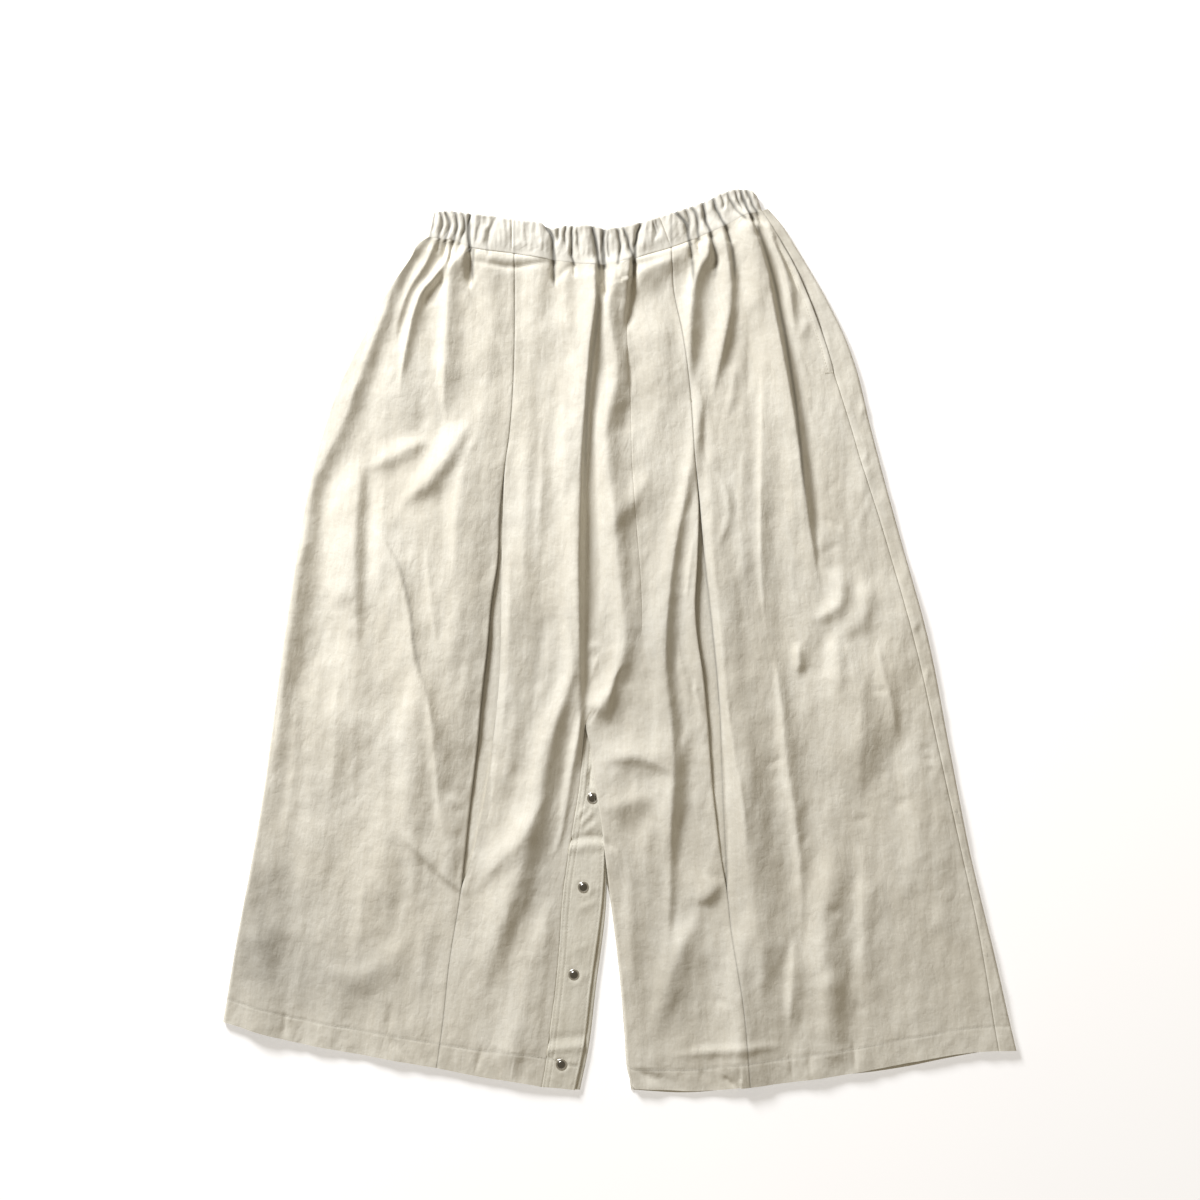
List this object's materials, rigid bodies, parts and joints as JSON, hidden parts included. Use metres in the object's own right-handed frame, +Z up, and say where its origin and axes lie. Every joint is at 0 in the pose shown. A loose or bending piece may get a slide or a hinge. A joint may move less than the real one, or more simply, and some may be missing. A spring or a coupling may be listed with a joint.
{
  "type": "culottes",
  "caption": "Wide cropped cotton culottes with a gathered elastic waistband, opened front pleats and a snapped inseam placket, laid flat.",
  "frame": {"origin": "centre of the garment's bounding box, on the surface it lies on", "axes": "+Z up from the surface, out of the garment's front; +Y towards the waist; +X towards the wearer's left side"},
  "size_m": [0.7922, 0.9022, 0.0164],
  "materials": {
    "cloth": "washed cream cotton twill, matt with a faint nap",
    "waistband": "washed cream cotton twill, gathered over elastic",
    "placket": "washed cream cotton twill, pressed and topstitched",
    "snap_metal": "polished dark nickel"
  },
  "bodies": {
    "root": {"waistband_front_right": "waistband", "waistband_front_centre": "waistband", "waistband_front_left": "waistband", "waistband_back": "waistband", "right_front_side": "cloth", "right_front_centre": "cloth", "left_front_centre": "cloth", "left_front_side": "cloth", "right_pleat_underlay": "cloth", "left_pleat_underlay": "cloth", "right_back": "cloth", "left_back": "cloth", "placket_front": "placket", "placket_under": "placket", "snap_cap_1": "snap_metal", "snap_cap_2": "snap_metal", "snap_cap_3": "snap_metal", "snap_cap_4": "snap_metal"}
  },
  "joints": []
}
